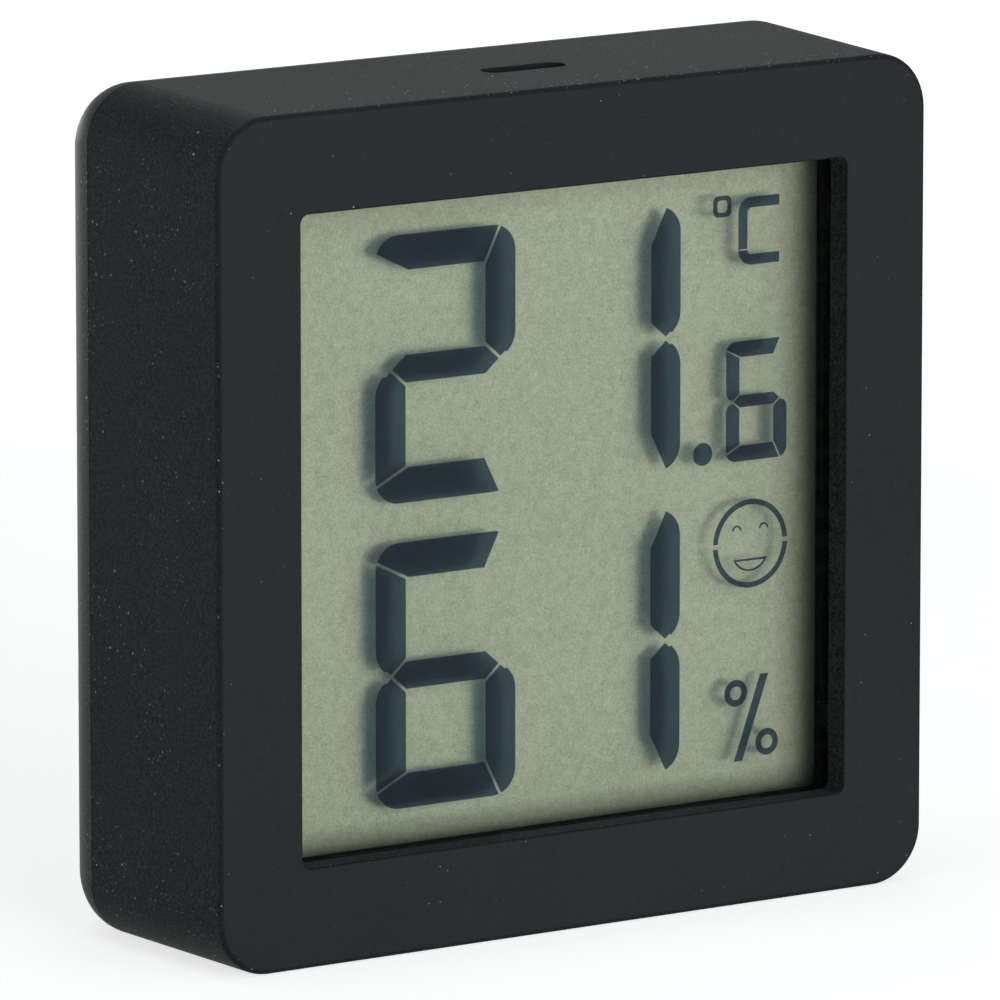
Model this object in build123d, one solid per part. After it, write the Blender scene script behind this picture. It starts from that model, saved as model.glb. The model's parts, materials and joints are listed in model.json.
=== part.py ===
"""A small free-standing temperature and humidity sensor with a liquid crystal display.

Millimetres. X points right, Y points back and Z up; the origin is under the middle of the part,
on the surface that it stands on. Most pieces are drawn in front view and extruded between two
depths, which are distances behind the front face.
"""
from math import atan2, cos, degrees, hypot, pi, sin
from types import SimpleNamespace
import os

from build123d import *

# Outside of the case
seam_width = 46.0             # widest outline, at the seam between casing and cover
seam_height = 46.0
depth = 16.5                  # front face to back face
cover_depth = 4.3             # depth of the rear cover and radius of its rounded rim
side_inset = 0.35             # each side of the casing draws in by this much towards the front
top_inset = 0.3
case_corner = 3.1             # corner radius seen from the front
back_corner = 1.5             # corner radius of the flat back
front_edge = 0.3              # rounding of the front face's rim
rim_sections = 8              # steps of the rounded rim's outline

# Walls
wall = 1.5
front_wall = 1.5
rear_wall = 1.4
overrun = 1.0                 # how far a cut runs past what it opens

# Display window and vent
bezel_side = 5.2              # front face beside the window
bezel_top = 5.4               # and above and below it
window_corner = 0.5
window_edge = 0.12            # rounding of the opening's rim
slot_length = 5.2             # vent slot in the top
slot_width = 1.5
slot_x = 0.5                  # middle of the slot, right of the part's middle
slot_depth = 6.0              # middle of the slot, behind the front face

# Display stack, front to back
tape = 0.1
tape_width = 0.75
polariser = 0.2
glass = 1.1
cell_gap = 0.05               # space for the liquid crystal between the glasses
sign_gap = 0.01               # the signs stand clear of each glass by this much
foil_gap = 0.02               # glue between the rear polariser and the reflector
reflector = 0.1
glass_lap = 1.1               # glass beyond the window's sides and top
rear_glass_below = 0.5        # rear glass beyond the window's lower edge
ledge = 1.95                  # contact ledge of the front glass under the rear glass
film_inset = 0.05             # films are this much smaller than the glass
seal_width = 0.6
zebra = 1.6                   # thickness of the connector strip
zebra_end = 3.5               # glass beyond each end of the connector strip
fit_gap = 0.1                 # clearance round pieces that drop into a seat

# Display holder
holder_front_gap = 0.05
holder_side = 2.4
holder_lip = 0.8

# The signs on the display, as shares of the window's side: sizes, then places from its middle or
# from the foot or the top of the digits beside them
sign_shares = {
    "digit_width": 0.2550, "digit_height": 0.4126, "digit_stroke": 0.0544, "digit_middle_stroke": 0.0424,
    "digit_corner": 0.0415, "digit_gap": 0.0049, "digit_pitch": 0.3057, "left_digit_x": -0.3138,
    "upper_row_z": 0.2318, "lower_row_z": -0.2418,
    "small_width": 0.1138, "small_height": 0.1883, "small_stroke": 0.0246, "small_middle_stroke": 0.0186,
    "small_corner": 0.0172, "small_gap": 0.0026, "small_x": 0.3332,
    "point_diameter": 0.0358, "point_x": 0.2894, "point_rise": 0.0181,
    "degree_size": 0.0335, "degree_stroke": 0.0072, "degree_corner": 0.0092, "degree_x": 0.3080,
    "degree_rise": 0.0063,
    "letter_width": 0.0765, "letter_height": 0.1060, "letter_stroke": 0.0166, "letter_corner": 0.0244,
    "letter_gap": 0.0020, "letter_x": 0.3553, "letter_gap_height": 0.0235,
    "face_diameter": 0.1398, "face_stroke": 0.0086, "face_gap": 0.0075, "face_x": 0.3794,
    "eye_radius": 0.0086, "eye_stroke": 0.0026, "eye_spacing": 0.0507, "eye_rise": 0.0218,
    "mouth_width": 0.0630, "mouth_drop": 0.0238, "mouth_depth": 0.0201, "mouth_stroke": 0.0032,
    "percent_ring": 0.0424, "percent_bore": 0.0218, "percent_left_x": 0.3533, "percent_left_rise": 0.1083,
    "percent_right_x": 0.4123, "percent_right_rise": 0.0255,
    "slash_foot_x": 0.3582, "slash_top_x": 0.4069, "slash_height": 0.1341, "slash_width": 0.0152,
}

# Circuit board
board_front = 6.0
board = 1.0
board_side_gap = 0.5
board_floor_gap = 0.5
board_corner = 1.5
board_notch_width = 8.0       # opening in the upper edge, under the vent slot
board_notch_depth = 2.0
screw_inset = 1.15            # screws stand this far inside the casing's side wall
screw_end = 3.45              # and this far inside the window's height
screw_core = 1.1
screw_length = 4.2
screw_head = 2.4
screw_head_height = 0.8
screw_slot_width = 0.3
screw_slot_depth = 0.35
boss_diameter = 2.7
rib_width = 0.8
rib_length = 3.0
rib_offset = 4.0              # middle of a rib from the screw beside it
rib_height = 1.4

# Parts on the board's back
part_gap = 0.5                # clearance between the parts and the battery cup beside them
blob_diameter = 8.0
blob_height = 1.2
crystal_diameter = 2.0
crystal_length = 6.0
lead = 0.3
lead_length = 2.4
lead_pitch = 0.8
resistor_size = (1.6, 0.8, 0.5)
resistor_count = 6
resistor_pitch = 2.2
capacitor_size = (2.0, 1.25, 0.9)
capacitor_count = 3
capacitor_pitch = 3.0
sensor_size = 3.0
sensor_height = 1.0
sensor_hole = 1.0
sensor_hole_depth = 0.4
sensor_x = 0.9
sensor_drop = 1.9             # middle of the sensor below the notch in the board
bead_diameter = 1.4
bead_x = -2.4
bead_rise = 1.1               # middle of the bead above the notch's floor
switch_size = 4.0
switch_height = 1.5
plunger_diameter = 1.8
plunger_length = 1.25
plunger_stand = 0.8           # how far the plunger stands out of the switch
button_travel = 0.4

# Coin cell and its contacts
cell_diameter = 20.0
cell_thickness = 3.2
can_wall = 0.25
cap_inset = 1.2               # the cap's edge inside the can's
cap_drop = 0.1                # the cap stands this far out of the can's rim
crimp = 0.5
cell_play = 0.1               # between the cell and the door
cup_gap = 0.2                 # between the cell and its cup
cup_wall = 1.0
cup_floor = 1.0
strip = 0.2                   # contact sheet thickness
spring_rise = 0.7             # the cell stands this far off the cup's floor
negative_width = 4.0
negative_leg_inset = 2.5      # leg of the spring inside the cell's edge
negative_tip_inset = 3.5
tongue_length = 4.5           # sloped end of the spring
positive_width = 4.0
positive_reach = 2.4          # length of the clip beside the can
contact_gap = 0.02
contact_foot = 1.5
slot_gap = 0.15               # clearance round the contacts in their slots

# Battery door
door_lap = 2.3                # door beyond the cell on each side
door_end = 2.4                # and above and below it
door_thickness = 1.3
door_corner = 1.6
door_gap = 0.12
door_under_gap = 0.1
flush_gap = 0.05              # door and stand lie this far below the back
door_pin = 0.7
pin_gap = 0.05                # radial running clearance of the moulded pins
pin_end_gap = 0.1
notch_radius = 2.6            # finger notches
notch_depth = 0.9

# Stand, a U round the door; shares of the flat back beside, below and above the door
arm_share = 0.5
beside_door_share = 0.203     # back left between door and arm
door_pin_share = 0.46         # of what is left beside the door
stand_foot_share = 0.111      # back left below the stand
stand_bar_share = 0.571
stand_pivot_drop = 15.0       # hinge line below the top
stand_thickness = 1.6
stand_corner = 3.0
stand_gap = 0.15
stand_under_gap = 0.15
stand_pin = 0.9
stand_pin_length = 0.8
pad_floor = 1.0               # plastic left under the stand's channel

# Unit button
button_x = 5.6
button_rise_share = 0.603     # of the flat back above the door
button_height_share = 0.381
button_width = 4.6
button_flange = 0.7
button_flange_thickness = 0.6
button_recess = 0.1
button_gap = 0.12
stem_diameter = 2.0

# Magnets
magnet_diameter = 6.0
magnet_thickness = 1.5
magnet_inset = 6.2            # middle of a magnet inside the seam's side
magnet_drop = 6.8             # and below its top
magnet_skin = 0.8
magnet_gap = 0.1
magnet_ring = 0.8

# Joint between casing and cover
lip_gap = 0.1
lip_thickness = 1.0
lip_length = 1.5
hook_width = 5.0
hook_rise = 0.25
hook_length = 0.5
hook_end = 5.45               # middle of a hook inside the window's height

# Places that follow from the sizes above
seam_depth = depth - cover_depth
front_width = seam_width - 2 * side_inset
front_height = seam_height - top_inset
front_y = -depth / 2
inner_back = depth - rear_wall

window_width = front_width - 2 * bezel_side
window_height = front_height - 2 * bezel_top
window_z = front_height / 2
display_side = min(window_width, window_height)
sign = SimpleNamespace(**{name: share * display_side for name, share in sign_shares.items()})

lcd_front = front_wall + tape
glass_front = lcd_front + polariser
segment_front = glass_front + glass
rear_glass_front = segment_front + cell_gap
rear_film_front = rear_glass_front + glass
rear_film_back = rear_film_front + polariser
reflector_front = rear_film_back + foil_gap
lcd_back = reflector_front + reflector
glass_width = window_width + 2 * glass_lap
glass_top = window_z + window_height / 2 + glass_lap
rear_glass_foot = window_z - window_height / 2 - rear_glass_below
glass_foot = rear_glass_foot - ledge

cell_z = seam_height / 2
cell_back = depth - flush_gap - door_thickness - cell_play
cell_front = cell_back - cell_thickness
cup_radius = cell_diameter / 2 + cup_gap + cup_wall
cup_floor_back = cell_front - spring_rise
cup_floor_front = cup_floor_back - cup_floor

door_width = cell_diameter + 2 * door_lap
door_height = cell_diameter + 2 * door_end
door_foot = cell_z - door_height / 2
door_top = door_foot + door_height
door_recess = flush_gap + door_thickness + door_under_gap
door_axis_depth = depth - flush_gap - door_thickness / 2
door_axis_z = door_foot + door_thickness / 2

back_beside = seam_width / 2 - cover_depth - door_width / 2
back_below = door_foot - cover_depth
back_above = seam_height - cover_depth - door_top
beside_door = beside_door_share * back_beside
door_pin_length = door_pin_share * beside_door
stand_arm = arm_share * back_beside
stand_width = door_width + 2 * (beside_door + stand_arm)
stand_foot = cover_depth + stand_foot_share * back_below
stand_bar = stand_bar_share * back_below
stand_pivot_z = seam_height - stand_pivot_drop
stand_recess = flush_gap + stand_thickness + stand_under_gap
stand_axis_depth = depth - flush_gap - stand_thickness / 2
pad_front = depth - stand_recess - pad_floor

button_z = door_top + button_rise_share * back_above
button_height = button_height_share * back_above
flange_back = inner_back - button_gap
flange_front = flange_back - button_flange_thickness
magnet_x = seam_width / 2 - magnet_inset
magnet_z = seam_height - magnet_drop

board_back = board_front + board
switch_back = board_back + switch_height
plunger_back = switch_back + plunger_stand
screw_x = front_width / 2 - wall - screw_inset
screw_rise = window_height / 2 - screw_end
screw_places = [(side * screw_x, window_z + end * screw_rise) for side in (-1, 1) for end in (-1, 1)]
board_foot = wall + board_floor_gap
column_foot = cell_z - cup_radius


def y_of(distance):
    """Y of a plane that lies this far behind the front face."""
    return front_y + distance


def front_view(distance):
    """A drawing plane at a depth, seen from the front: its X is X, its Y is Z."""
    return Plane(origin=(0, y_of(distance), 0), x_dir=(1, 0, 0), z_dir=(0, -1, 0))


def side_view(x):
    """A drawing plane at an X, with Y as its X and Z as its Y."""
    return Plane(origin=(x, 0, 0), x_dir=(0, 1, 0), z_dir=(1, 0, 0))


def slab(outline, front, back):
    """Extrudes a front-view outline between two depths."""
    return extrude(front_view(back) * outline, amount=back - front)


def panel(width, height, middle_x, middle_z, corner=0.0):
    """Front-view rectangle, rounded if it has a corner radius."""
    shape = RectangleRounded(width, height, corner) if corner > 0 else Rectangle(width, height)
    return Pos(middle_x, middle_z) * shape


def span(left, right, foot, top, corner=0.0):
    """Front-view rectangle between four edges."""
    return panel(right - left, top - foot, (left + right) / 2, (foot + top) / 2, corner)


def disc(diameter, x, z, front, back):
    """Round slab along Y."""
    return slab(Pos(x, z) * Circle(diameter / 2), front, back)


def rod(diameter, left, right, distance, z):
    """Round bar along X at a depth and a height."""
    circle = Pos(y_of(distance), z) * Circle(diameter / 2)
    return extrude(side_view(left) * circle, amount=right - left)


def save(shape, name):
    """Writes one named piece, or one group of like pieces."""
    solids = shape.solids() if hasattr(shape, "solids") else shape
    export_step(Compound(children=list(solids)) if len(solids) > 1 else solids[0], f"parts/{name}.step")


def body_width(distance):
    """Width of the tapered casing at a depth."""
    return front_width + 2 * side_inset * distance / seam_depth


def body_height(distance):
    return front_height + top_inset * distance / seam_depth


def body_outline(distance, inset=0.0):
    """Outline of the tapered casing at a depth, drawn in by an inset; its foot stays on the base."""
    half = body_width(distance) / 2 - inset
    return span(-half, half, inset, body_height(distance) - inset, case_corner - inset)


def tapered_block(front, back, inset=0.0):
    """The tapered body between two depths, drawn in by an inset."""
    near, far = [body_width(d) / 2 - inset for d in (front, back)]
    low, high = [body_height(d) - inset for d in (front, back)]
    y_near, y_far = y_of(front), y_of(back)
    plan = make_face(Polyline((-near, y_near), (near, y_near), (far, y_far), (-far, y_far), close=True))
    profile = make_face(Polyline((y_near, inset), (y_far, inset), (y_far, high), (y_near, low), close=True))
    half = max(near, far)
    block = extrude(plan, amount=max(low, high)) & extrude(side_view(-half) * profile, amount=2 * half)
    long_edges = [edge for edge in block.edges() if edge.bounding_box().size.Y > back - front - fit_gap]
    return fillet(long_edges, case_corner - inset)


def rim_outline(turn):
    """Outline of the cover's rounded rim, turn going from 0 at the seam to a quarter turn at the back."""
    inset = cover_depth * (1 - cos(turn))
    corner = case_corner - (case_corner - back_corner) * inset / cover_depth
    outline = span(-seam_width / 2 + inset, seam_width / 2 - inset, inset, seam_height - inset, corner)
    return front_view(seam_depth + cover_depth * sin(turn)) * outline


def window_outline():
    return panel(window_width, window_height, 0, window_z, window_corner)


def front_casing():
    """Moulded shell with the window, the vent slot, the screw bosses and the ribs round the glass."""
    shell = tapered_block(0, seam_depth)
    rim = shell.edges().filter_by_position(Axis.Y, front_y, front_y)
    shell = fillet(rim, front_edge)
    shell -= tapered_block(front_wall, seam_depth, wall)
    shell -= slab(window_outline(), 0, front_wall)
    sharp = [
        edge for edge in shell.edges().filter_by_position(Axis.Y, front_y, front_y)
        if abs(edge.center().X) < window_width / 2 + window_edge
        and abs(edge.center().Z - window_z) < window_height / 2 + window_edge
    ]
    shell = fillet(sharp, window_edge)
    inside = tapered_block(front_wall, seam_depth, wall / 2)
    for x, z in screw_places:
        boss = disc(boss_diameter, x, z, front_wall, board_front)
        shell += boss & inside
        shell -= disc(screw_core, x, z, board_front - screw_length, board_front)
    rib_x = glass_width / 2 + fit_gap
    for side in (-1, 1):
        for end in (-1, 1):
            z = window_z + end * (screw_rise - rib_offset)
            x = side * (rib_x + rib_width / 2)
            shell += slab(panel(rib_width, rib_length, x, z), front_wall, front_wall + rib_height)
    under_roof = Plane.XY.offset(front_height - wall - overrun)
    vent = under_roof * Pos(slot_x, y_of(slot_depth)) * SlotOverall(slot_length, slot_width)
    shell -= extrude(vent, amount=wall + 2 * overrun)
    for groove in hook_blocks(fit_gap):
        shell -= groove
    return shell


def hook_blocks(gap=0.0):
    """The snap ridges on the cover's lip, or with a gap the grooves that take them."""
    middle = seam_depth - lip_length / 2
    reach = lip_gap + hook_rise + gap
    half = hook_length / 2 + gap
    blocks = []
    for side in (-1, 1):
        for end in (-1, 1):
            z = window_z + end * (window_height / 2 - hook_end)
            edge = seam_width / 2 - wall - lip_gap - lip_thickness / 2
            outer = edge + lip_thickness / 2 + reach
            left, right = sorted((side * edge, side * outer))
            outline = span(left, right, z - hook_width / 2 - gap, z + hook_width / 2 + gap)
            blocks.append(slab(outline, middle - half, middle + half))
    return blocks


def stand_outline(grow=0.0):
    """Front-view U of the folded stand; grow widens it to the channel in the cover."""
    top = stand_pivot_z + stand_thickness / 2 + grow
    outer = span(-stand_width / 2 - grow, stand_width / 2 + grow, stand_foot - grow, top + stand_corner,
                 stand_corner + grow)
    inner_half = stand_width / 2 - stand_arm - grow
    inner = span(-inner_half, inner_half, stand_foot + stand_bar + grow, top + 2 * stand_corner,
                 stand_corner / 2)
    cap = span(-stand_width, stand_width, top, top + 3 * stand_corner)
    return outer - inner - cap


def stand():
    """Folding U-shaped stand, flush with the back, with its two pins at the top of its arms."""
    top = stand_pivot_z + stand_thickness / 2
    front = stand_axis_depth - stand_thickness / 2
    shape = slab(stand_outline(), front, front + stand_thickness)
    keep = slab(span(-stand_width, stand_width, 0, stand_pivot_z), front, front + stand_thickness)
    ends = rod(stand_thickness, -stand_width / 2, stand_width / 2, stand_axis_depth, stand_pivot_z)
    shape = shape & (keep + ends)
    for side in (-1, 1):
        tip = side * (stand_width / 2 + stand_pin_length)
        root = side * (stand_width / 2 - stand_arm / 2)
        shape += rod(stand_pin, *sorted((tip, root)), stand_axis_depth, stand_pivot_z)
    return shape


def door():
    """Battery door with its rounded lower edge and two pins."""
    front = door_axis_depth - door_thickness / 2
    outline = span(-door_width / 2, door_width / 2, door_foot, door_top, door_corner)
    lower = span(-door_width / 2, door_width / 2, door_axis_z, door_axis_z + 2 * door_corner)
    shape = slab(outline, front, front + door_thickness)
    shape -= slab(span(-door_width, door_width, 0, door_axis_z), front - overrun, depth + overrun)
    shape += slab(lower, front, front + door_thickness)
    pin_tip = door_width / 2 + door_pin_length
    shape += rod(door_thickness, -door_width / 2, door_width / 2, door_axis_depth, door_axis_z)
    shape += rod(door_pin, -pin_tip, pin_tip, door_axis_depth, door_axis_z)
    return shape


def door_room():
    """Space that the door needs in the cover, with its bearing holes."""
    half = door_width / 2 + door_gap
    floor = depth - door_recess
    room = slab(span(-half, half, door_axis_z, door_top + door_gap, door_corner), floor, depth + overrun)
    room += slab(span(-half, half, door_axis_z, door_axis_z + 2 * door_corner), floor, depth + overrun)
    room += rod(door_thickness + 2 * door_under_gap, -half, half, door_axis_depth, door_axis_z)
    room += slab(span(-half, half, door_axis_z - door_thickness / 2 - door_under_gap, door_axis_z),
                 door_axis_depth, depth + overrun)
    hole = door_width / 2 + door_pin_length + pin_end_gap
    return room + rod(door_pin + 2 * pin_gap, -hole, hole, door_axis_depth, door_axis_z)


def stand_room():
    """Channel of the folded stand, with its bearing holes."""
    room = slab(stand_outline(stand_gap), depth - stand_recess, depth + overrun)
    hole = stand_width / 2 + stand_pin_length + pin_end_gap
    for side in (-1, 1):
        ends = sorted((side * hole, side * (stand_width / 2 - stand_arm / 2)))
        room += rod(stand_pin + 2 * pin_gap, *ends, stand_axis_depth, stand_pivot_z)
    return room


def pad_outline():
    """Thick part of the cover's wall, under the stand and the door."""
    side = stand_width / 2 + stand_pin_length + pin_end_gap + pad_floor
    foot = stand_foot - stand_gap - pad_floor
    return span(-side, side, foot, door_top + door_gap + pad_floor, stand_corner)


def cover_inside(front, back):
    """Room inside the cover's lip between two depths."""
    outline = body_outline(seam_depth - lip_length, wall + lip_gap + lip_thickness)
    return slab(outline, front, back)


def rear_cover():
    """Rear shell with a rounded rim, the locating lip, the battery cup and the seats in its back."""
    turns = [n * pi / 2 / rim_sections for n in range(rim_sections + 1)]
    shell = loft(Sketch() + [rim_outline(turn) for turn in turns])
    tip = seam_depth - lip_length
    shell += slab(body_outline(tip, wall + lip_gap), tip, seam_depth + rear_wall)
    shell -= cover_inside(tip, inner_back)
    shell += slab(pad_outline(), pad_front, inner_back) & cover_inside(tip, inner_back)
    shell += disc(2 * cup_radius, 0, cell_z, cup_floor_front, inner_back)
    for x in (-magnet_x, magnet_x):
        ring = magnet_diameter + 2 * (magnet_gap + magnet_ring)
        shell += disc(ring, x, magnet_z, depth - magnet_skin - magnet_thickness, inner_back)
    for ridge in hook_blocks():
        shell += ridge
    shell -= door_room()
    shell -= stand_room()
    shell -= disc(2 * (cup_radius - cup_wall), 0, cell_z, cup_floor_back, depth)
    shell -= contact_slots()
    pocket = magnet_diameter + 2 * magnet_gap
    for x in (-magnet_x, magnet_x):
        shell -= disc(pocket, x, magnet_z, pad_front - overrun, depth - magnet_skin)
    shell -= slab(button_outline(button_gap), inner_back - overrun, depth + overrun)
    flange_room = button_outline(button_flange + button_gap)
    shell -= slab(flange_room, flange_front - button_travel - button_gap, inner_back)
    return shell - finger_notches()


def finger_notches():
    """Hollows for a fingertip above the door and below the stand."""
    notches = []
    for z in (door_top, stand_foot):
        hollow = disc(2 * notch_radius, 0, z, depth - notch_depth, depth + overrun)
        notches.append(hollow)
    return notches[0] + notches[1]


def negative_places():
    """Heights of the spring's leg, its bend and its tip."""
    leg = cell_z + cell_diameter / 2 - negative_leg_inset
    tip = cell_z - cell_diameter / 2 + negative_tip_inset
    return leg, tip + tongue_length, tip


def negative_contact():
    """Spring strip under the cell, with its leg down to the board."""
    leg_z, bend_z, tip_z = negative_places()
    back = cup_floor_back + strip
    tip = cell_front - cap_drop - contact_gap
    points = [
        (board_back, leg_z), (board_back, leg_z - strip), (cup_floor_back, leg_z - strip),
        (cup_floor_back, bend_z), (tip - strip, tip_z), (tip, tip_z), (back, bend_z), (back, leg_z),
    ]
    outline = make_face(Polyline(*[(y_of(d), z) for d, z in points], close=True))
    half = negative_width / 2
    foot = span(-half, half, leg_z, leg_z + contact_foot)
    spring = extrude(side_view(-half) * outline, amount=negative_width)
    return spring + slab(foot, board_back, board_back + strip)


def positive_contact():
    """Clip beside the can, standing on the board."""
    inner = cell_diameter / 2 + contact_gap
    outer = inner + strip
    half = positive_width / 2
    clip = slab(span(inner, outer, cell_z - half, cell_z + half), board_back, cell_front + positive_reach)
    foot = slab(span(outer, outer + contact_foot, cell_z - half, cell_z + half), board_back, board_back + strip)
    return clip + foot


def contact_slots():
    """Slots in the cup's floor and wall for the two contacts."""
    leg_z = negative_places()[0]
    half = negative_width / 2 + slot_gap
    leg = span(-half, half, leg_z - strip - slot_gap, leg_z + slot_gap)
    inner = cell_diameter / 2 - strip
    outer = cell_diameter / 2 + contact_gap + strip + slot_gap
    side = positive_width / 2 + slot_gap
    clip = span(inner, outer, cell_z - side, cell_z + side)
    slots = slab(leg, cup_floor_front, cup_floor_back)
    return slots + slab(clip, cup_floor_front, cell_front + positive_reach + slot_gap)


def coin_cell():
    """The can with its crimped rim, the sealing ring and the cap, as three pieces."""
    outer = cell_diameter / 2
    can = disc(cell_diameter, 0, cell_z, cell_front, cell_back)
    can -= disc(2 * (outer - can_wall), 0, cell_z, cell_front + can_wall, cell_back - can_wall)
    can -= disc(2 * (outer - crimp), 0, cell_z, cell_front, cell_front + can_wall)
    ring = disc(2 * (outer - can_wall), 0, cell_z, cell_front + can_wall, cell_back - can_wall)
    ring += disc(2 * (outer - crimp), 0, cell_z, cell_front, cell_front + can_wall)
    cap = disc(2 * (outer - cap_inset), 0, cell_z, cell_front - cap_drop, cell_back - can_wall)
    ring -= cap
    return can, ring, cap


def button_outline(grow=0.0):
    """Front-view outline of the button's key, grown all round for its flange or its clearances."""
    return Pos(button_x, button_z) * SlotOverall(button_width + 2 * grow, button_height + 2 * grow)


def unit_button():
    """Push button with a retaining flange and a stem that reaches the switch."""
    key = slab(button_outline(), flange_front, depth - button_recess)
    key = fillet(top_edges(key), button_recess * 2)
    key += slab(button_outline(button_flange), flange_front, flange_back)
    return key + disc(stem_diameter, button_x, button_z, plunger_back, flange_back)


def top_edges(shape):
    """Edges in the rearmost plane of a shape."""
    y = shape.bounding_box().max.Y
    return shape.edges().filter_by_position(Axis.Y, y - button_recess / 2, y + button_recess / 2)


def push_switch():
    """Switch body with the bore that its plunger runs in, and the plunger."""
    bore = plunger_diameter + 2 * pin_gap
    body = slab(panel(switch_size, switch_size, button_x, button_z), board_back, switch_back)
    plunger_front = plunger_back - plunger_length
    body -= disc(bore, button_x, button_z, plunger_front - button_travel - pin_gap, switch_back)
    return body, disc(plunger_diameter, button_x, button_z, plunger_front, plunger_back)


def seven_segments(width, height, stroke, middle_stroke, corner, gap):
    """The seven pieces of a digit by letter, round the digit's own middle.

    The digit is two rounded boxes one above the other; slanted gaps part its strokes.
    """
    half_w, half_h, mid = width / 2, height / 2, middle_stroke / 2
    figure = Sketch()
    for side in (-1, 1):
        low, high = sorted((0, side * half_h))
        box = span(-half_w, half_w, low, high, corner)
        hole_low, hole_high = sorted((side * mid, side * (half_h - stroke)))
        box -= span(-half_w + stroke, half_w - stroke, hole_low, hole_high)
        waist = span(-half_w + stroke / 2, half_w - stroke / 2, *sorted((0, side * mid)))
        figure += box + waist
    inner_w, inner_h = half_w - stroke, half_h - stroke
    notch = half_w - stroke / 2
    cuts = []
    for side in (-1, 1):
        cuts.append(((-inner_w, side * inner_h), (-half_w, side * (half_h - stroke / 2))))
        cuts.append(((inner_w, side * inner_h), (half_w - stroke / 2, side * half_h)))
        for end in (-1, 1):
            cuts.append(((end * inner_w, side * (mid + gap / 2)), (end * notch, 0)))
    for start, end in cuts:
        figure -= stroke_line(start, end, gap, stroke / 4)
    seats = {
        "a": (0, half_h - stroke / 2), "b": (half_w - stroke / 2, half_h / 2),
        "c": (half_w - stroke / 2, -half_h / 2), "d": (0, -half_h + stroke / 2),
        "e": (-half_w + stroke / 2, -half_h / 2), "f": (-half_w + stroke / 2, half_h / 2), "g": (0, 0),
    }
    faces = figure.faces()
    pieces = {}
    for letter, (x, z) in seats.items():
        pieces[letter] = min(faces, key=lambda face: hypot(face.center().X - x, face.center().Y - z))
    return pieces


def stroke_line(start, end, thickness, extra=0.0):
    """Straight stroke between two points, longer at both ends by an extra."""
    (x0, z0), (x1, z1) = start, end
    length = hypot(x1 - x0, z1 - z0) + 2 * extra
    turn = degrees(atan2(z1 - z0, x1 - x0))
    return Pos((x0 + x1) / 2, (z0 + z1) / 2) * Rot(0, 0, turn) * Rectangle(length, thickness)


def digit(lit, left, foot, *style):
    """The lit segments of a digit whose left edge and foot are given."""
    width, height = style[0], style[1]
    pieces = seven_segments(*style)
    place = Pos(left + width / 2, foot + height / 2)
    return [place * pieces[letter] for letter in lit]


def ring(outer, inner, x, z):
    return Pos(x, z) * (Circle(outer / 2) - Circle(inner / 2))


def comfort_face(z):
    """A round smiling face: ring in two halves, two eye arcs and an open mouth."""
    x = sign.face_x
    outer = ring(sign.face_diameter, sign.face_diameter - 2 * sign.face_stroke, x, z)
    outer -= panel(sign.face_diameter * 2, sign.face_gap, x, z)
    pieces = list(outer.faces())
    for side in (-1, 1):
        eye_x = x + side * sign.eye_spacing / 2
        eye = ring(2 * sign.eye_radius, 2 * (sign.eye_radius - sign.eye_stroke), eye_x, z + sign.eye_rise)
        upper_half = panel(2 * sign.eye_radius, sign.eye_radius, eye_x, z + sign.eye_rise + sign.eye_radius / 2)
        pieces += (eye & upper_half).faces()
    lips = z - sign.mouth_drop
    stroke = sign.mouth_stroke
    outside = mouth(sign.mouth_width, sign.mouth_depth, x, lips)
    inside = mouth(sign.mouth_width - 3 * stroke, sign.mouth_depth - 2 * stroke, x, lips - stroke)
    pieces += (outside - inside).faces()
    return pieces


def mouth(width, drop, x, top):
    """Flat-topped open mouth."""
    left, right, low = (x - width / 2, top), (x + width / 2, top), (x, top - drop)
    return make_face([Line(left, right), ThreePointArc(right, low, left)])


def degree_sign(top):
    z = top + sign.degree_rise - sign.degree_size / 2
    x = sign.degree_x + sign.degree_size / 2
    inner = sign.degree_size - 2 * sign.degree_stroke
    return (panel(sign.degree_size, sign.degree_size, x, z, sign.degree_corner)
            - panel(inner, inner, x, z, sign.degree_corner - sign.degree_stroke / 2)).faces()


def letter_c(top):
    """The unit letter: an open frame with one thin gap."""
    foot = top - sign.letter_height
    right = sign.letter_x + sign.letter_width
    far = right + 2 * sign.letter_corner
    frame = span(sign.letter_x, far, foot, top, sign.letter_corner)
    inner = sign.letter_x + sign.letter_stroke
    frame -= span(inner, far + sign.letter_corner, foot + sign.letter_stroke, top - sign.letter_stroke,
                  sign.letter_corner - sign.letter_stroke)
    frame -= span(right, far + 2 * sign.letter_corner, foot - sign.letter_corner, top + sign.letter_corner)
    gap_z = foot + sign.letter_gap_height
    frame -= span(sign.letter_x - sign.letter_gap, inner + sign.letter_gap, gap_z, gap_z + sign.letter_gap)
    return frame.faces()


def percent_sign(foot):
    rings = [
        ring(sign.percent_ring, sign.percent_bore, sign.percent_left_x, foot + sign.percent_left_rise),
        ring(sign.percent_ring, sign.percent_bore, sign.percent_right_x, foot + sign.percent_right_rise),
    ]
    half = sign.slash_width / 2
    top = foot + sign.slash_height
    slash = make_face(Polyline(
        (sign.slash_foot_x - half, foot), (sign.slash_foot_x + half, foot),
        (sign.slash_top_x + half, top), (sign.slash_top_x - half, top), close=True,
    ))
    return [face for piece in rings for face in piece.faces()] + list(slash.faces())


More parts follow.
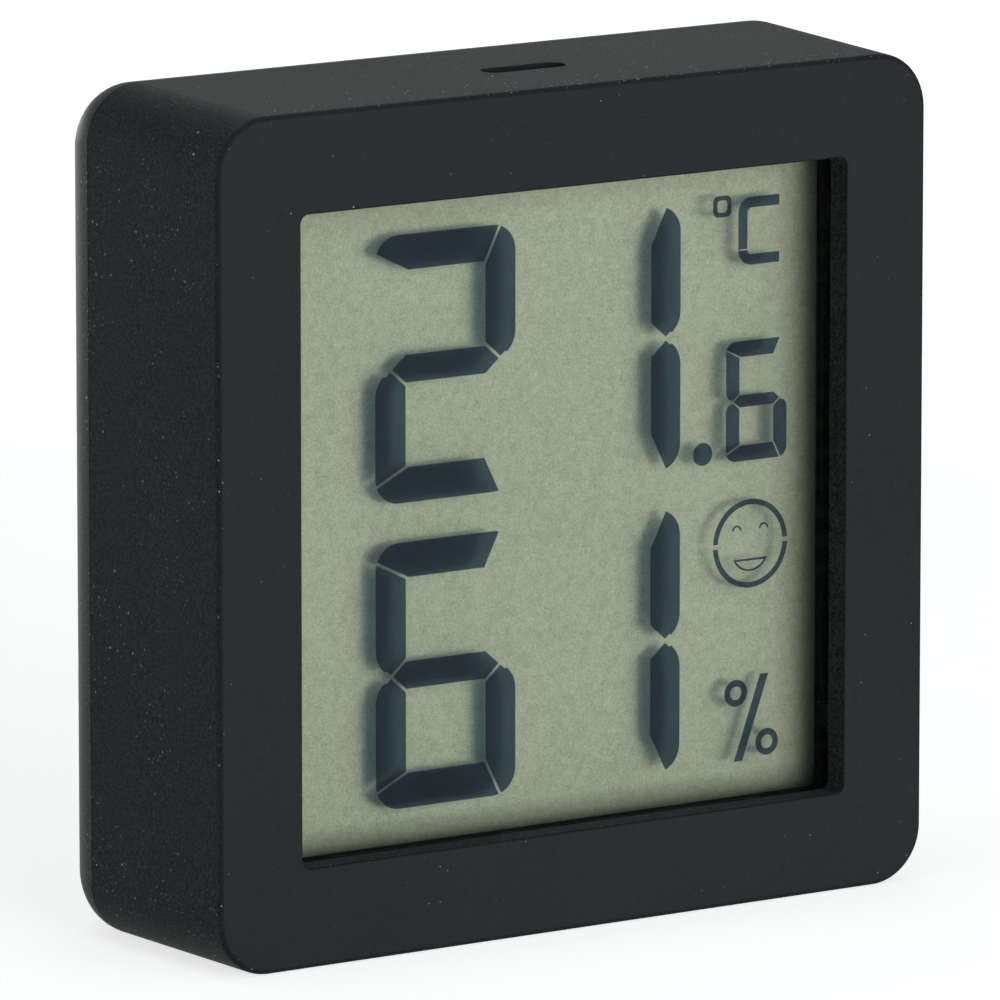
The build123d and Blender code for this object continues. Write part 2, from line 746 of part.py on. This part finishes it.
def display_segments():
    """Everything that is dark on the display, as thin pieces between the two glasses."""
    big = (sign.digit_width, sign.digit_height, sign.digit_stroke, sign.digit_middle_stroke,
           sign.digit_corner, sign.digit_gap)
    small = (sign.small_width, sign.small_height, sign.small_stroke, sign.small_middle_stroke,
             sign.small_corner, sign.small_gap)
    right_digit_x = sign.left_digit_x + sign.digit_pitch
    upper_foot = window_z + sign.upper_row_z - sign.digit_height / 2
    lower_foot = window_z + sign.lower_row_z - sign.digit_height / 2
    upper_top = upper_foot + sign.digit_height
    faces = digit("abged", sign.left_digit_x, upper_foot, *big)
    faces += digit("bc", right_digit_x, upper_foot, *big)
    faces += digit("afgecd", sign.left_digit_x, lower_foot, *big)
    faces += digit("bc", right_digit_x, lower_foot, *big)
    faces += digit("afgecd", sign.small_x, upper_foot, *small)
    faces += (Pos(sign.point_x, upper_foot + sign.point_rise) * Circle(sign.point_diameter / 2)).faces()
    faces += degree_sign(upper_top)
    faces += letter_c(upper_top)
    faces += comfort_face(lower_foot + sign.digit_height - sign.face_diameter / 2)
    faces += percent_sign(lower_foot)
    return Compound(children=[
        extrude(front_view(rear_glass_front - sign_gap) * face, amount=cell_gap - 2 * sign_gap)
        for face in faces
    ])


def save_display():
    """The display stack from the adhesive frame to the reflector, its holder and its connector."""
    half = glass_width / 2
    film = half - film_inset
    rear_outline = span(-half, half, rear_glass_foot, glass_top)
    front_outline = span(-half, half, glass_foot, glass_top)
    film_outline = span(-film, film, rear_glass_foot + film_inset, glass_top - film_inset)
    tape_outer = span(-film, film, rear_glass_foot - tape_width, glass_top - film_inset)
    tape_inner_half = film - tape_width
    tape_inner = span(-tape_inner_half, tape_inner_half, rear_glass_foot, glass_top - film_inset - tape_width)
    save(slab(tape_outer - tape_inner, front_wall, lcd_front), "lcd_tape")
    front_film = span(-film, film, rear_glass_foot - tape_width, glass_top - film_inset)
    save(slab(front_film, lcd_front, glass_front), "lcd_front_polariser")
    save(slab(front_outline, glass_front, segment_front), "lcd_front_glass")
    save(display_segments(), "lcd_segments")
    seal_half = half - seal_width
    seal_inner = span(-seal_half, seal_half, rear_glass_foot + seal_width / 3, glass_top - seal_width)
    save(slab(rear_outline - seal_inner, segment_front, rear_glass_front), "lcd_edge_seal")
    save(slab(rear_outline, rear_glass_front, rear_film_front), "lcd_rear_glass")
    save(slab(film_outline, rear_film_front, rear_film_back), "lcd_rear_polariser")
    save(slab(film_outline, reflector_front, lcd_back), "lcd_reflector")

    zebra_length = glass_width - 2 * zebra_end
    zebra_foot = glass_foot + (ledge - zebra) / 2
    slot = span(-zebra_length / 2 - fit_gap, zebra_length / 2 + fit_gap, zebra_foot - fit_gap,
                zebra_foot + zebra + fit_gap)
    lip_foot = glass_foot - fit_gap - holder_lip
    back = lcd_back + holder_front_gap
    inner_half = half - holder_side
    ring_inner = span(-inner_half, inner_half, rear_glass_foot + holder_side, glass_top - holder_side)
    holder = slab(span(-half, half, lip_foot, glass_top) - ring_inner - slot, back, board_front)
    holder += slab(span(-half, half, lip_foot, glass_foot - fit_gap), glass_front, board_front)
    save(holder, "lcd_holder")
    strip_outline = span(-zebra_length / 2, zebra_length / 2, zebra_foot, zebra_foot + zebra)
    save(slab(strip_outline, segment_front, board_front), "zebra_connector")


def notch_floor():
    """Lower edge of the notch in the board's upper edge."""
    return body_height(board_front) - wall - board_side_gap - board_notch_depth


def circuit_board():
    """Board with open notches for its screws and a notch in its upper edge for the air."""
    half = body_width(board_front) / 2 - wall - board_side_gap
    board_top = notch_floor() + board_notch_depth
    outline = span(-half, half, board_foot, board_top, board_corner)
    outline -= span(-board_notch_width / 2, board_notch_width / 2, notch_floor(), board_top + overrun)
    for x, z in screw_places:
        side = 1 if x > 0 else -1
        width = screw_core + 2 * fit_gap
        outline -= Pos(x, z) * Circle(width / 2)
        outline -= span(*sorted((x, side * (half + overrun))), z - width / 2, z + width / 2)
    return slab(outline, board_front, board_back)


def board_screws():
    """Four slotted screws that hold the board on the casing's bosses."""
    screws = []
    for x, z in screw_places:
        head_back = board_back + screw_head_height
        shank = disc(screw_core, x, z, board_front - screw_length + board, board_back)
        head = disc(screw_head, x, z, board_back, head_back)
        head -= slab(panel(screw_head + overrun, screw_slot_width, x, z), head_back - screw_slot_depth, head_back)
        screws.append(shank + head)
    return Compound(children=screws)


def dome(diameter, rise, x, z, front):
    """Spherical cap of epoxy on a flat face."""
    radius = (rise * rise + diameter * diameter / 4) / (2 * rise)
    ball = Pos(x, y_of(front + rise - radius), z) * Sphere(radius)
    return ball & disc(diameter, x, z, front, front + rise)


def row_of_chips(size, count, pitch, side):
    """A column of like chips on the board's back, on one side of the battery cup."""
    width, height, thickness = size
    x = side * (cup_radius + part_gap + width / 2)
    return Compound(children=[
        slab(panel(width, height, x, column_foot + n * pitch), board_back, board_back + thickness)
        for n in range(count)
    ])


def leads(x, foot, length):
    """A pair of wires that lie on the board's back, upright in front view."""
    wires = []
    for side in (-1, 1):
        middle = (x + side * lead_pitch / 2, y_of(board_back + lead / 2), foot)
        wires.append(Pos(*middle) * Cylinder(lead / 2, length, align=(Align.CENTER, Align.CENTER, Align.MIN)))
    return Compound(children=wires)


def save_board():
    """The circuit board and everything that is soldered to it."""
    save(circuit_board(), "circuit_board")
    save(board_screws(), "board_screws")
    save(dome(blob_diameter, blob_height, 0, (board_foot + column_foot) / 2, board_back), "chip_blob")
    can_middle = board_back + crystal_diameter / 2
    crystal_x = -(cup_radius + part_gap + crystal_diameter / 2)
    crystal_z = cell_z + part_gap + lead_length
    can = Pos(crystal_x, y_of(can_middle), crystal_z) * Cylinder(
        crystal_diameter / 2, crystal_length, align=(Align.CENTER, Align.CENTER, Align.MIN))
    save(can, "crystal_can")
    save(leads(crystal_x, crystal_z - lead_length, lead_length), "crystal_leads")
    save(row_of_chips(resistor_size, resistor_count, resistor_pitch, -1), "chip_resistors")
    save(row_of_chips(capacitor_size, capacitor_count, capacitor_pitch, 1), "chip_capacitors")
    sensor_z = notch_floor() - sensor_drop
    sensor = slab(panel(sensor_size, sensor_size, sensor_x, sensor_z), board_back, board_back + sensor_height)
    sensor -= disc(sensor_hole, sensor_x, sensor_z, board_back + sensor_height - sensor_hole_depth,
                   board_back + sensor_height)
    save(sensor, "humidity_sensor")
    bead_z = notch_floor() + bead_rise
    wires = leads(bead_x, bead_z - bead_diameter / 2 - lead_length, lead_length + bead_diameter / 2)
    bead = Pos(bead_x, y_of(board_back + lead / 2), bead_z) * Sphere(bead_diameter / 2)
    save(bead - wires, "thermistor_bead")
    save(wires, "thermistor_leads")


def save_cell_and_button():
    """Coin cell, contacts, switch and button."""
    can, ring_seal, cap = coin_cell()
    save(can, "coin_cell_can")
    save(ring_seal, "coin_cell_gasket")
    save(cap, "coin_cell_cap")
    save(negative_contact(), "battery_negative_contact")
    save(positive_contact(), "battery_positive_contact")
    body, plunger = push_switch()
    save(body, "switch_body")
    save(plunger, "switch_plunger")
    save(unit_button(), "unit_button")


def magnets():
    back = depth - magnet_skin
    return Compound(children=[
        disc(magnet_diameter, x, magnet_z, back - magnet_thickness, back) for x in (-magnet_x, magnet_x)
    ])


os.makedirs("parts", exist_ok=True)
save(front_casing(), "front_casing")
save(rear_cover(), "rear_cover")
save(stand(), "stand")
save(door(), "battery_door")
save(magnets(), "magnets")
save_display()
save_board()
save_cell_and_button()
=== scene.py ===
"""Looks of the temperature and humidity sensor: materials, light, floor and camera.

Lengths are in metres, and the scales of textures in cells per metre.
"""
import json
from math import cos, radians, sin

import bpy
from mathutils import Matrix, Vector


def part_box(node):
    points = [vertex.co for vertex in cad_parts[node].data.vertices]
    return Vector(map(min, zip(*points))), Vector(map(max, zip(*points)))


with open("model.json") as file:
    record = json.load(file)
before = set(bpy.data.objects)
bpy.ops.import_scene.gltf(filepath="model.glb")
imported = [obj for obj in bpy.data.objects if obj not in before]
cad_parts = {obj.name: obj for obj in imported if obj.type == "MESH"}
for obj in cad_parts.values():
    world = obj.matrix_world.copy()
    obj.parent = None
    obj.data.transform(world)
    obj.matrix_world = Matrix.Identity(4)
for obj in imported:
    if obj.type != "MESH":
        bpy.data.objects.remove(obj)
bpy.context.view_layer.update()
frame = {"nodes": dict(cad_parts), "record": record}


class Look:
    """A procedural material: a Principled shader and the textures that feed it."""

    def __init__(self, name):
        self.material = bpy.data.materials.new(name)
        self.material.use_nodes = True
        self.nodes = self.material.node_tree.nodes
        self.links = self.material.node_tree.links
        self.shader = self.nodes["Principled BSDF"]
        self.place = self.nodes.new("ShaderNodeTexCoord").outputs["Object"]

    def put(self, value, socket):
        """Links an output to a socket, or sets the socket to a plain value."""
        if isinstance(value, bpy.types.NodeSocket):
            self.links.new(value, socket)
        else:
            socket.default_value = value

    def set(self, **values):
        """Sets or links sockets of the shader, named in lower case with underscores."""
        for name, value in values.items():
            socket = next(s for s in self.shader.inputs if s.name.lower().replace(" ", "_") == name)
            self.put(value, socket)
        return self

    def stretched(self, scale):
        """Object coordinates times a scale for each axis."""
        node = self.nodes.new("ShaderNodeMapping")
        self.put(self.place, node.inputs["Vector"])
        node.inputs["Scale"].default_value = scale
        return node.outputs["Vector"]

    def noise(self, scale, detail=2.0, roughness=0.5, stretch=None):
        """Noise from 0 to 1."""
        node = self.nodes.new("ShaderNodeTexNoise")
        self.put(self.stretched(stretch) if stretch else self.place, node.inputs["Vector"])
        node.inputs["Scale"].default_value = scale
        node.inputs["Detail"].default_value = detail
        node.inputs["Roughness"].default_value = roughness
        return node.outputs["Fac"]

    def cells(self, scale):
        """Voronoi distance to the nearest point and that point's random colour."""
        node = self.nodes.new("ShaderNodeTexVoronoi")
        self.put(self.place, node.inputs["Vector"])
        node.inputs["Scale"].default_value = scale
        return node.outputs["Distance"], node.outputs["Color"]

    def math(self, operation, a, b=0.0, c=0.0):
        """One arithmetic step on up to three values."""
        node = self.nodes.new("ShaderNodeMath")
        node.operation = operation
        for value, socket in zip((a, b, c), node.inputs):
            self.put(value, socket)
        return node.outputs[0]

    def scaled(self, value, low, high, to_low, to_high):
        """A value taken from one range to another, and held within it."""
        node = self.nodes.new("ShaderNodeMapRange")
        for number, socket in zip((value, low, high, to_low, to_high), node.inputs):
            self.put(number, socket)
        return node.outputs[0]

    def mix(self, share, a, b):
        """Colour a at share 0 and colour b at share 1."""
        share_input, a_input, b_input, colour_output = 0, 6, 7, 2
        node = self.nodes.new("ShaderNodeMix")
        node.data_type = "RGBA"
        for value, index in ((share, share_input), (a, a_input), (b, b_input)):
            if not isinstance(value, bpy.types.NodeSocket) and index != share_input:
                value = (*value, 1.0)
            self.put(value, node.inputs[index])
        return node.outputs[colour_output]

    def blend(self, value, low, high, a, b):
        """Colour a where a value is at most low, colour b where it is at least high."""
        return self.mix(self.scaled(value, low, high, 0.0, 1.0), a, b)

    def bump(self, height, strength, distance):
        """Relief in the shading, from a height."""
        node = self.nodes.new("ShaderNodeBump")
        node.inputs["Strength"].default_value = strength
        node.inputs["Distance"].default_value = distance
        self.put(height, node.inputs["Height"])
        return self.set(normal=node.outputs["Normal"])

    def axis(self, name):
        """One object coordinate: X, Y or Z."""
        node = self.nodes.new("ShaderNodeSeparateXYZ")
        self.put(self.place, node.inputs[0])
        return node.outputs[name]


def times(colour, factor):
    """A colour made darker or lighter by a factor."""
    return tuple(factor * c for c in colour)


def grey(level, tint=(1.0, 1.0, 1.0)):
    """Linear colour of a display level from 0 to 255, tinted."""
    share = level / 255
    linear = share / 12.92 if share <= 0.04045 else ((share + 0.055) / 1.055) ** 2.4
    return tuple(linear * t for t in tint)


def moulded(name, dark, light, roughness=0.5, grain=5200.0, depth=0.00002, gloss=0.5):
    """Moulded plastic: fine spark grain and faint mottling."""
    grain_share, mottling_share = 0.55, 0.45
    look = Look(name)
    fine = look.noise(grain, detail=2.0, roughness=0.6)
    broad = look.noise(70.0, detail=3.0, roughness=0.55)
    both = look.math("MULTIPLY_ADD", fine, grain_share, look.math("MULTIPLY", broad, mottling_share))
    look.set(
        base_color=look.blend(both, 0.35, 0.65, dark, light),
        roughness=look.scaled(both, 0.3, 0.7, roughness - 0.06, roughness + 0.08),
        specular_ior_level=gloss,
    )
    return look.bump(fine, 0.5, depth)


line_and_shade_colour = (0.002, 0.002, 0.002)
dust_colour = grey(220)
front_swing, side_swing = 1.5, 10.0         # how far the grain moves the tone, in front and elsewhere
side_deep, side_pale = 0.6, 1.4             # factors on the dark and the light colour, elsewhere
least_dust, most_dust = 0.05, 0.9           # share of cells with a speck, on hidden and on exposed faces
dust_layers = (                             # scale, least and most radius in cells, brightest glow
    (4200.0, 0.10, 0.25, 0.5),
    (1900.0, 0.06, 0.14, 1.0),
)


def case_skin(name, dark, light, gloss, edges=()):
    """Matt black case: smooth in front, grainy on the sides and the top, where dust has settled.

    Each edge is a range of depth where the colour is darker, and how dark; on the case these are a thin
    dark line along the front edge and painted shade in the gap at the seam.
    """
    look = Look(name)
    facing = look.nodes.new("ShaderNodeSeparateXYZ")
    look.put(look.nodes.new("ShaderNodeTexCoord").outputs["Normal"], facing.inputs[0])
    off_front = look.math("SUBTRACT", 1.0, look.math("ABSOLUTE", facing.outputs["Y"]))
    fine = look.noise(6500.0, detail=2.0, roughness=0.8)
    broad = look.noise(60.0, detail=3.0, roughness=0.55)
    reach = look.scaled(off_front, 0.0, 1.0, front_swing, side_swing)
    swing = look.math("MULTIPLY", look.math("SUBTRACT", fine, 0.5), reach)
    tone = look.math("ADD", look.math("MULTIPLY_ADD", broad, 0.8, 0.1), swing)
    deep = look.mix(off_front, dark, times(dark, side_deep))
    pale = look.mix(off_front, light, times(light, side_pale))
    colour = look.blend(tone, 0.0, 1.0, deep, pale)
    # Darker bands by depth; at a seam this is painted shade in the gap.
    for low, high, share in edges:
        inside = look.math("MULTIPLY", look.math("GREATER_THAN", look.axis("Y"), low),
                           look.math("LESS_THAN", look.axis("Y"), high))
        colour = look.mix(look.math("MULTIPLY", inside, share), colour, line_and_shade_colour)
    left_half = look.scaled(look.axis("X"), -0.001, 0.001, -1.0, 0.0)
    left = look.math("MULTIPLY", facing.outputs["X"], left_half)
    exposed = look.math("MAXIMUM", left, facing.outputs["Z"])
    patches = look.scaled(look.noise(170.0, detail=3.0, roughness=0.6), 0.38, 0.62, 0.06, 1.0)
    amount = look.math("MULTIPLY", patches, look.scaled(exposed, 0.0, 1.0, least_dust, most_dust))
    for scale, thin, thick, glow in dust_layers:
        distance, random = look.cells(scale)
        channels = look.nodes.new("ShaderNodeSeparateColor")
        look.put(random, channels.inputs[0])
        kept = look.math("LESS_THAN", channels.outputs[0], amount)
        size = look.scaled(channels.outputs[1], 0.0, 1.0, thin, thick)
        speck = look.math("MULTIPLY", look.math("LESS_THAN", distance, size), kept)
        few_high = look.math("POWER", channels.outputs[2], 3.0)
        bright = look.scaled(few_high, 0.0, 1.0, 0.06 * glow, glow)
        colour = look.mix(look.math("MULTIPLY", speck, bright), colour, dust_colour)
    look.set(
        base_color=colour,
        roughness=look.scaled(fine, 0.3, 0.7, 0.50, 0.62),
        specular_ior_level=gloss,
    )
    return look.bump(fine, 0.5, 0.00002)


def metal(name, colour, roughness, stretch, brush=900.0):
    """Plated or brushed metal with fine streaks, at right angles to the axis whose scale is raised."""
    stain_factor = 0.82
    look = Look(name)
    streaks = look.noise(brush, detail=4.0, roughness=0.65, stretch=stretch)
    stains = look.noise(160.0, detail=3.0)
    look.set(
        base_color=look.blend(stains, 0.3, 0.7, times(colour, stain_factor), colour),
        metallic=1.0,
        roughness=look.scaled(streaks, 0.3, 0.7, roughness - 0.08, roughness + 0.1),
    )
    return look.bump(streaks, 0.1, 0.000005)


def film(name, colour, alpha, roughness, gloss=0.2):
    """Satin sheet that straight rays pass: a little haze and gloss over what lies behind it."""
    haze_factor = 0.8
    look = Look(name)
    look.set(
        base_color=look.mix(look.noise(900.0, detail=0.0), times(colour, haze_factor), colour),
        roughness=roughness,
        alpha=alpha,
        specular_ior_level=gloss,
    )
    return look


def pane(name, thin, thick):
    """Clear sheet inside the display, which only tints what passes through it."""
    look = Look(name)
    passing = look.nodes.new("ShaderNodeBsdfTransparent")
    look.put(look.mix(look.noise(60.0, detail=0.0), thick, thin), passing.inputs["Color"])
    look.nodes.remove(look.shader)
    look.links.new(passing.outputs[0], look.nodes["Material Output"].inputs["Surface"])
    return look


def display_back():
    """Grey-green reflector foil with a fine sparkling grain, and painted shade along its edges, where the
    window's walls shade it.
    """
    foil_dark, foil_light = (0.42, 0.41, 0.325), (0.92, 0.89, 0.72)
    drift_colour, painted_shade_colour = (0.62, 0.58, 0.47), (0.02, 0.025, 0.02)
    look = Look("reflector_foil")
    fine = look.noise(9000.0, detail=2.0, roughness=0.7)
    middle = look.noise(2400.0)
    broad = look.noise(40.0)
    grain = look.math("MULTIPLY_ADD", fine, 0.7, look.math("MULTIPLY", middle, 0.3))
    base = look.blend(grain, 0.25, 0.75, foil_dark, foil_light)
    base = look.mix(look.scaled(broad, 0.3, 0.7, 0.0, 0.12), base, drift_colour)
    low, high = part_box("lcd_reflector")
    x, z = look.axis("X"), look.axis("Z")
    from_foot = look.math("SUBTRACT", z, low[2])
    from_top = look.math("SUBTRACT", high[2], z)
    from_sides = look.math("SUBTRACT", high[0], look.math("ABSOLUTE", x))
    # Painted shade: the foil darkens towards its edges, most at the foot, as if shaded by the window's
    # walls.
    for room, width, least in (
        (from_foot, 0.0015, 0.22),
        (from_top, 0.0020, 0.5),
        (from_sides, 0.0027, 0.38),
    ):
        base = look.mix(look.scaled(room, 0.0, width, least, 1.0), painted_shade_colour, base)
    look.set(
        base_color=base,
        roughness=look.scaled(fine, 0.3, 0.7, 0.6, 0.8),
        specular_ior_level=0.25,
    )
    return look.bump(grain, 0.3, 0.00001)


def ink():
    """Switched liquid crystal: near black, and some blue-green light passes to its shadow."""
    ink_dark, ink_light = (0.020, 0.018, 0.015), (0.028, 0.025, 0.021)
    passing_tint, ink_share = (0.60, 0.77, 1.00, 1.0), 0.5
    look = Look("display_ink")
    fine = look.noise(6000.0, detail=2.0, roughness=0.6)
    look.set(
        base_color=look.blend(fine, 0.3, 0.7, ink_dark, ink_light),
        roughness=look.scaled(fine, 0.3, 0.7, 0.4, 0.55),
        specular_ior_level=0.1,
    )
    passing = look.nodes.new("ShaderNodeBsdfTransparent")
    passing.inputs["Color"].default_value = passing_tint
    both = look.nodes.new("ShaderNodeMixShader")
    both.inputs[0].default_value = ink_share
    look.links.new(passing.outputs[0], both.inputs[1])
    look.links.new(look.shader.outputs[0], both.inputs[2])
    look.links.new(both.outputs[0], look.nodes["Material Output"].inputs["Surface"])
    return look


def board():
    """Green solder mask over copper tracks, with bare pads on the rear face."""
    mask_dark, mask_light = (0.008, 0.085, 0.032), (0.012, 0.12, 0.045)
    track_colour, pad_colour = (0.03, 0.22, 0.08), (0.75, 0.72, 0.66)
    track_pitch_scale, track_width, pad_radius = 620.0, 0.42, 0.13
    look = Look("solder_mask")
    weave = look.noise(1500.0, stretch=(1.0, 1.0, 6.0))
    distance, _ = look.cells(260.0)
    across = look.math("FRACT", look.math("MULTIPLY", look.axis("Z"), track_pitch_scale))
    tracks = look.math("LESS_THAN", across, track_width)
    patches = look.math("GREATER_THAN", look.noise(110.0, detail=1.0, roughness=0.4), 0.52)
    copper = look.math("MULTIPLY", tracks, patches)
    mask = look.blend(weave, 0.3, 0.7, mask_dark, mask_light)
    colour = look.mix(look.math("MULTIPLY", copper, 0.55), mask, track_colour)
    low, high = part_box("circuit_board")
    rear = look.math("GREATER_THAN", look.axis("Y"), 0.9 * high[1] + 0.1 * low[1])
    pad = look.math("MULTIPLY", look.math("LESS_THAN", distance, pad_radius), rear)
    look.set(
        base_color=look.mix(look.math("MULTIPLY", pad, 0.8), colour, pad_colour),
        roughness=look.scaled(weave, 0.3, 0.7, 0.28, 0.42),
        specular_ior_level=0.5,
    )
    return look.bump(copper, 0.3, 0.00003)


def striped():
    """Elastomer strip: conducting and insulating layers side by side."""
    insulating, conducting = (0.02, 0.02, 0.022), (0.06, 0.06, 0.065)
    layer_scale, layer_share = 9000.0, 0.5
    look = Look("elastomer_strip")
    along = look.math("FRACT", look.math("MULTIPLY", look.axis("X"), layer_scale))
    stripes = look.math("LESS_THAN", along, layer_share)
    soft = look.noise(2000.0)
    look.set(
        base_color=look.mix(stripes, insulating, conducting),
        roughness=look.scaled(soft, 0.3, 0.7, 0.55, 0.75),
    )
    return look.bump(soft, 0.3, 0.00002)


case_dark = (0.0188, 0.0222, 0.0230)
case_light = (0.0300, 0.0345, 0.0356)
cover_dark = (0.0222, 0.0240, 0.0248)
cover_light = (0.0336, 0.0360, 0.0370)
front_y, seam_y = -0.00825, 0.00395
# Darker bands on the case by depth: a thin dark line along the front edge, and painted shade in the gap
# at the seam.
edge_line_and_gap_shade = (
    (front_y + 0.000005, front_y + 0.00015, 0.4),
    (seam_y - 0.0001, seam_y + 0.001, 0.85),
)
level_streaks, upright_streaks = (1.0, 1.0, 8.0), (4.0, 1.0, 1.0)
tan_dark, tan_light = grey(150, (1.0, 0.8, 0.6)), grey(172, (1.0, 0.84, 0.66))
brown_dark, brown_light = grey(110, (1.0, 0.6, 0.35)), grey(130, (1.0, 0.62, 0.38))
looks = {
    "case_black": case_skin("case_plastic", case_dark, case_light, 0.04, edge_line_and_gap_shade),
    "button_black": moulded("button_plastic", cover_dark, cover_light, 0.45, 4200.0, gloss=0.08),
    "adhesive": moulded("adhesive_frame", grey(20), grey(34), 0.75, 1800.0),
    "polariser": film("polariser_film", (0.02, 0.024, 0.02), 0.05, 0.45),
    "clear_glass": pane("clear_glass", (0.99, 0.995, 0.99), (0.98, 0.99, 0.985)),
    "display_ink": ink(),
    "seal": film("cell_seal", (0.02, 0.022, 0.02), 0.5, 0.4),
    "reflector": display_back(),
    "holder_black": moulded("holder_moulding", grey(34), grey(46), 0.6, 3800.0, gloss=0.15),
    "elastomer": striped(),
    "board_green": board(),
    "epoxy_black": moulded("epoxy_blob", grey(20), grey(30), 0.25, 900.0, 0.00004),
    "component_dark": moulded("component_body", grey(34), grey(48), 0.5, 3200.0),
    "component_tan": moulded("fired_ceramic", tan_dark, tan_light, 0.55, 3000.0),
    "sensor_white": moulded("sensor_cap", grey(206), grey(226), 0.4, 3400.0),
    "bead_epoxy": moulded("dipped_bead", grey(22), grey(32), 0.22, 1400.0, 0.00003),
    "steel": metal("plated_steel", (0.62, 0.61, 0.59), 0.3, level_streaks, 2600.0),
    "spring_steel": metal("spring_strip", (0.66, 0.62, 0.54), 0.26, level_streaks),
    "gasket": moulded("sealing_ring", grey(58), grey(74), 0.5, 2600.0),
    "magnet": metal("magnet_plating", (0.68, 0.68, 0.69), 0.14, upright_streaks, 500.0),
    "plunger_brown": moulded("switch_plunger", brown_dark, brown_light, 0.4),
}
cover_plastic = case_skin("cover_plastic", cover_dark, cover_light, 0.10)
own_looks = {  # pieces that don't look like the rest of their slot
    "rear_cover": cover_plastic,
    "stand": cover_plastic,
    "battery_door": cover_plastic,
    "lcd_rear_polariser": pane("rear_polariser_film", (0.95, 0.965, 0.945), (0.93, 0.95, 0.925)),
}
for part in frame["record"]["subparts"]:
    piece = frame["nodes"][part["node"]]
    look = own_looks.get(part["node"], looks[part["material_slot"]])
    for slot in piece.material_slots:
        slot.material = look.material


def emitter(name, size, place, aim, watts, colour=(1.0, 1.0, 1.0)):
    """Soft box: a rectangular area lamp that points at a spot."""
    lamp = bpy.data.lights.new(name, "AREA")
    lamp.shape = "RECTANGLE"
    lamp.size, lamp.size_y = size
    lamp.energy = watts
    lamp.color = colour
    holder = bpy.data.objects.new(name, lamp)
    holder.location = place
    holder.rotation_euler = (Vector(aim) - Vector(place)).to_track_quat("-Z", "Y").to_euler()
    bpy.context.scene.collection.objects.link(holder)


def by_rays(tree, other, seen):
    """The value seen for camera, glossy and transmission rays, and the value other for the rest."""
    path = tree.nodes.new("ShaderNodeLightPath")
    any_of = path.outputs["Is Camera Ray"]
    for name in ("Is Glossy Ray", "Is Transmission Ray"):
        node = tree.nodes.new("ShaderNodeMath")
        node.operation = "MAXIMUM"
        tree.links.new(any_of, node.inputs[0])
        tree.links.new(path.outputs[name], node.inputs[1])
        any_of = node.outputs[0]
    level = tree.nodes.new("ShaderNodeMapRange")
    tree.links.new(any_of, level.inputs["Value"])
    level.inputs["To Min"].default_value = other
    level.inputs["To Max"].default_value = seen
    return level.outputs[0]


# The lamp behind lies low, so that it lights the back and not the top.
middle = (0.0, 0.0, 0.023)
emitter("front_box", (0.30, 0.30), (0.0, -0.80, 0.03), middle, 3.4, (1.0, 0.97, 0.92))
emitter("front_wide", (1.00, 0.90), (0.12, -0.80, 0.0), middle, 5.8, (0.88, 0.98, 1.06))
emitter("top_box", (0.80, 0.80), (0.0, 0.10, 0.80), middle, 1.0, (0.92, 1.0, 1.02))
emitter("back_box", (0.40, 0.038), (0.0, 0.70, 0.022), middle, 1.1)
emitter("left_box", (0.50, 0.50), (-0.80, 0.0, 0.15), middle, 0.80, (0.92, 1.0, 1.03))

world = bpy.data.worlds.new("studio")
bpy.context.scene.world = world
world.use_nodes = True
air = world.node_tree
white = (1.0, 1.0, 1.0, 1.0)
ambient = 0.08
air.nodes["Background"].inputs["Color"].default_value = white
air.links.new(by_rays(air, ambient, 1.0), air.nodes["Background"].inputs["Strength"])

# The floor's glow is seen directly, in gloss and through clear sheets, and lights nothing else.
# It is weaker near the sensor, so that the shadow stays, and white far off.
half = 3.0
shadow_reach, white_from = 0.12, 0.50
near_glow, far_glow = 0.70, 1.0
corners = [(-half, -half, 0), (half, -half, 0), (half, half, 0), (-half, half, 0)]
sheet = bpy.data.meshes.new("floor")
sheet.from_pydata(corners, [], [(0, 1, 2, 3)])
floor = bpy.data.objects.new("floor", sheet)
bpy.context.scene.collection.objects.link(floor)
paper = Look("floor_paper")
away = paper.nodes.new("ShaderNodeVectorMath")
away.operation = "LENGTH"
paper.put(paper.place, away.inputs[0])
glow = paper.scaled(away.outputs["Value"], shadow_reach, white_from, near_glow, far_glow)
seen = by_rays(paper.material.node_tree, 0.0, 1.0)
paper.set(
    base_color=paper.mix(paper.noise(30.0), (0.90, 0.90, 0.90), (0.94, 0.94, 0.94)),
    roughness=0.9,
    specular_ior_level=0.1,
    emission_color=white,
    emission_strength=paper.math("MULTIPLY", seen, glow),
)
sheet.materials.append(paper.material)

yaw, pitch, distance = radians(33.81), radians(10.67), 0.64
focal_pixels, frame_pixels = 11902.4, 1000
aim = Vector((0.0003685, -0.00025, 0.0221012))
forward = Vector((sin(yaw) * cos(pitch), cos(yaw) * cos(pitch), -sin(pitch)))
lens = bpy.data.cameras.new("camera")
lens.sensor_width = 36.0
lens.lens = focal_pixels / frame_pixels * lens.sensor_width
lens.clip_start = 0.01
camera = bpy.data.objects.new("camera", lens)
camera.location = aim - forward * distance
camera.rotation_euler = forward.to_track_quat("-Z", "Y").to_euler()
bpy.context.scene.collection.objects.link(camera)
bpy.context.scene.camera = camera
bpy.context.scene.view_settings.view_transform = "Standard"
# A ray through the display crosses two faces of each clear sheet on its way in, and again on its way out.
bpy.context.scene.cycles.transparent_max_bounces = 48
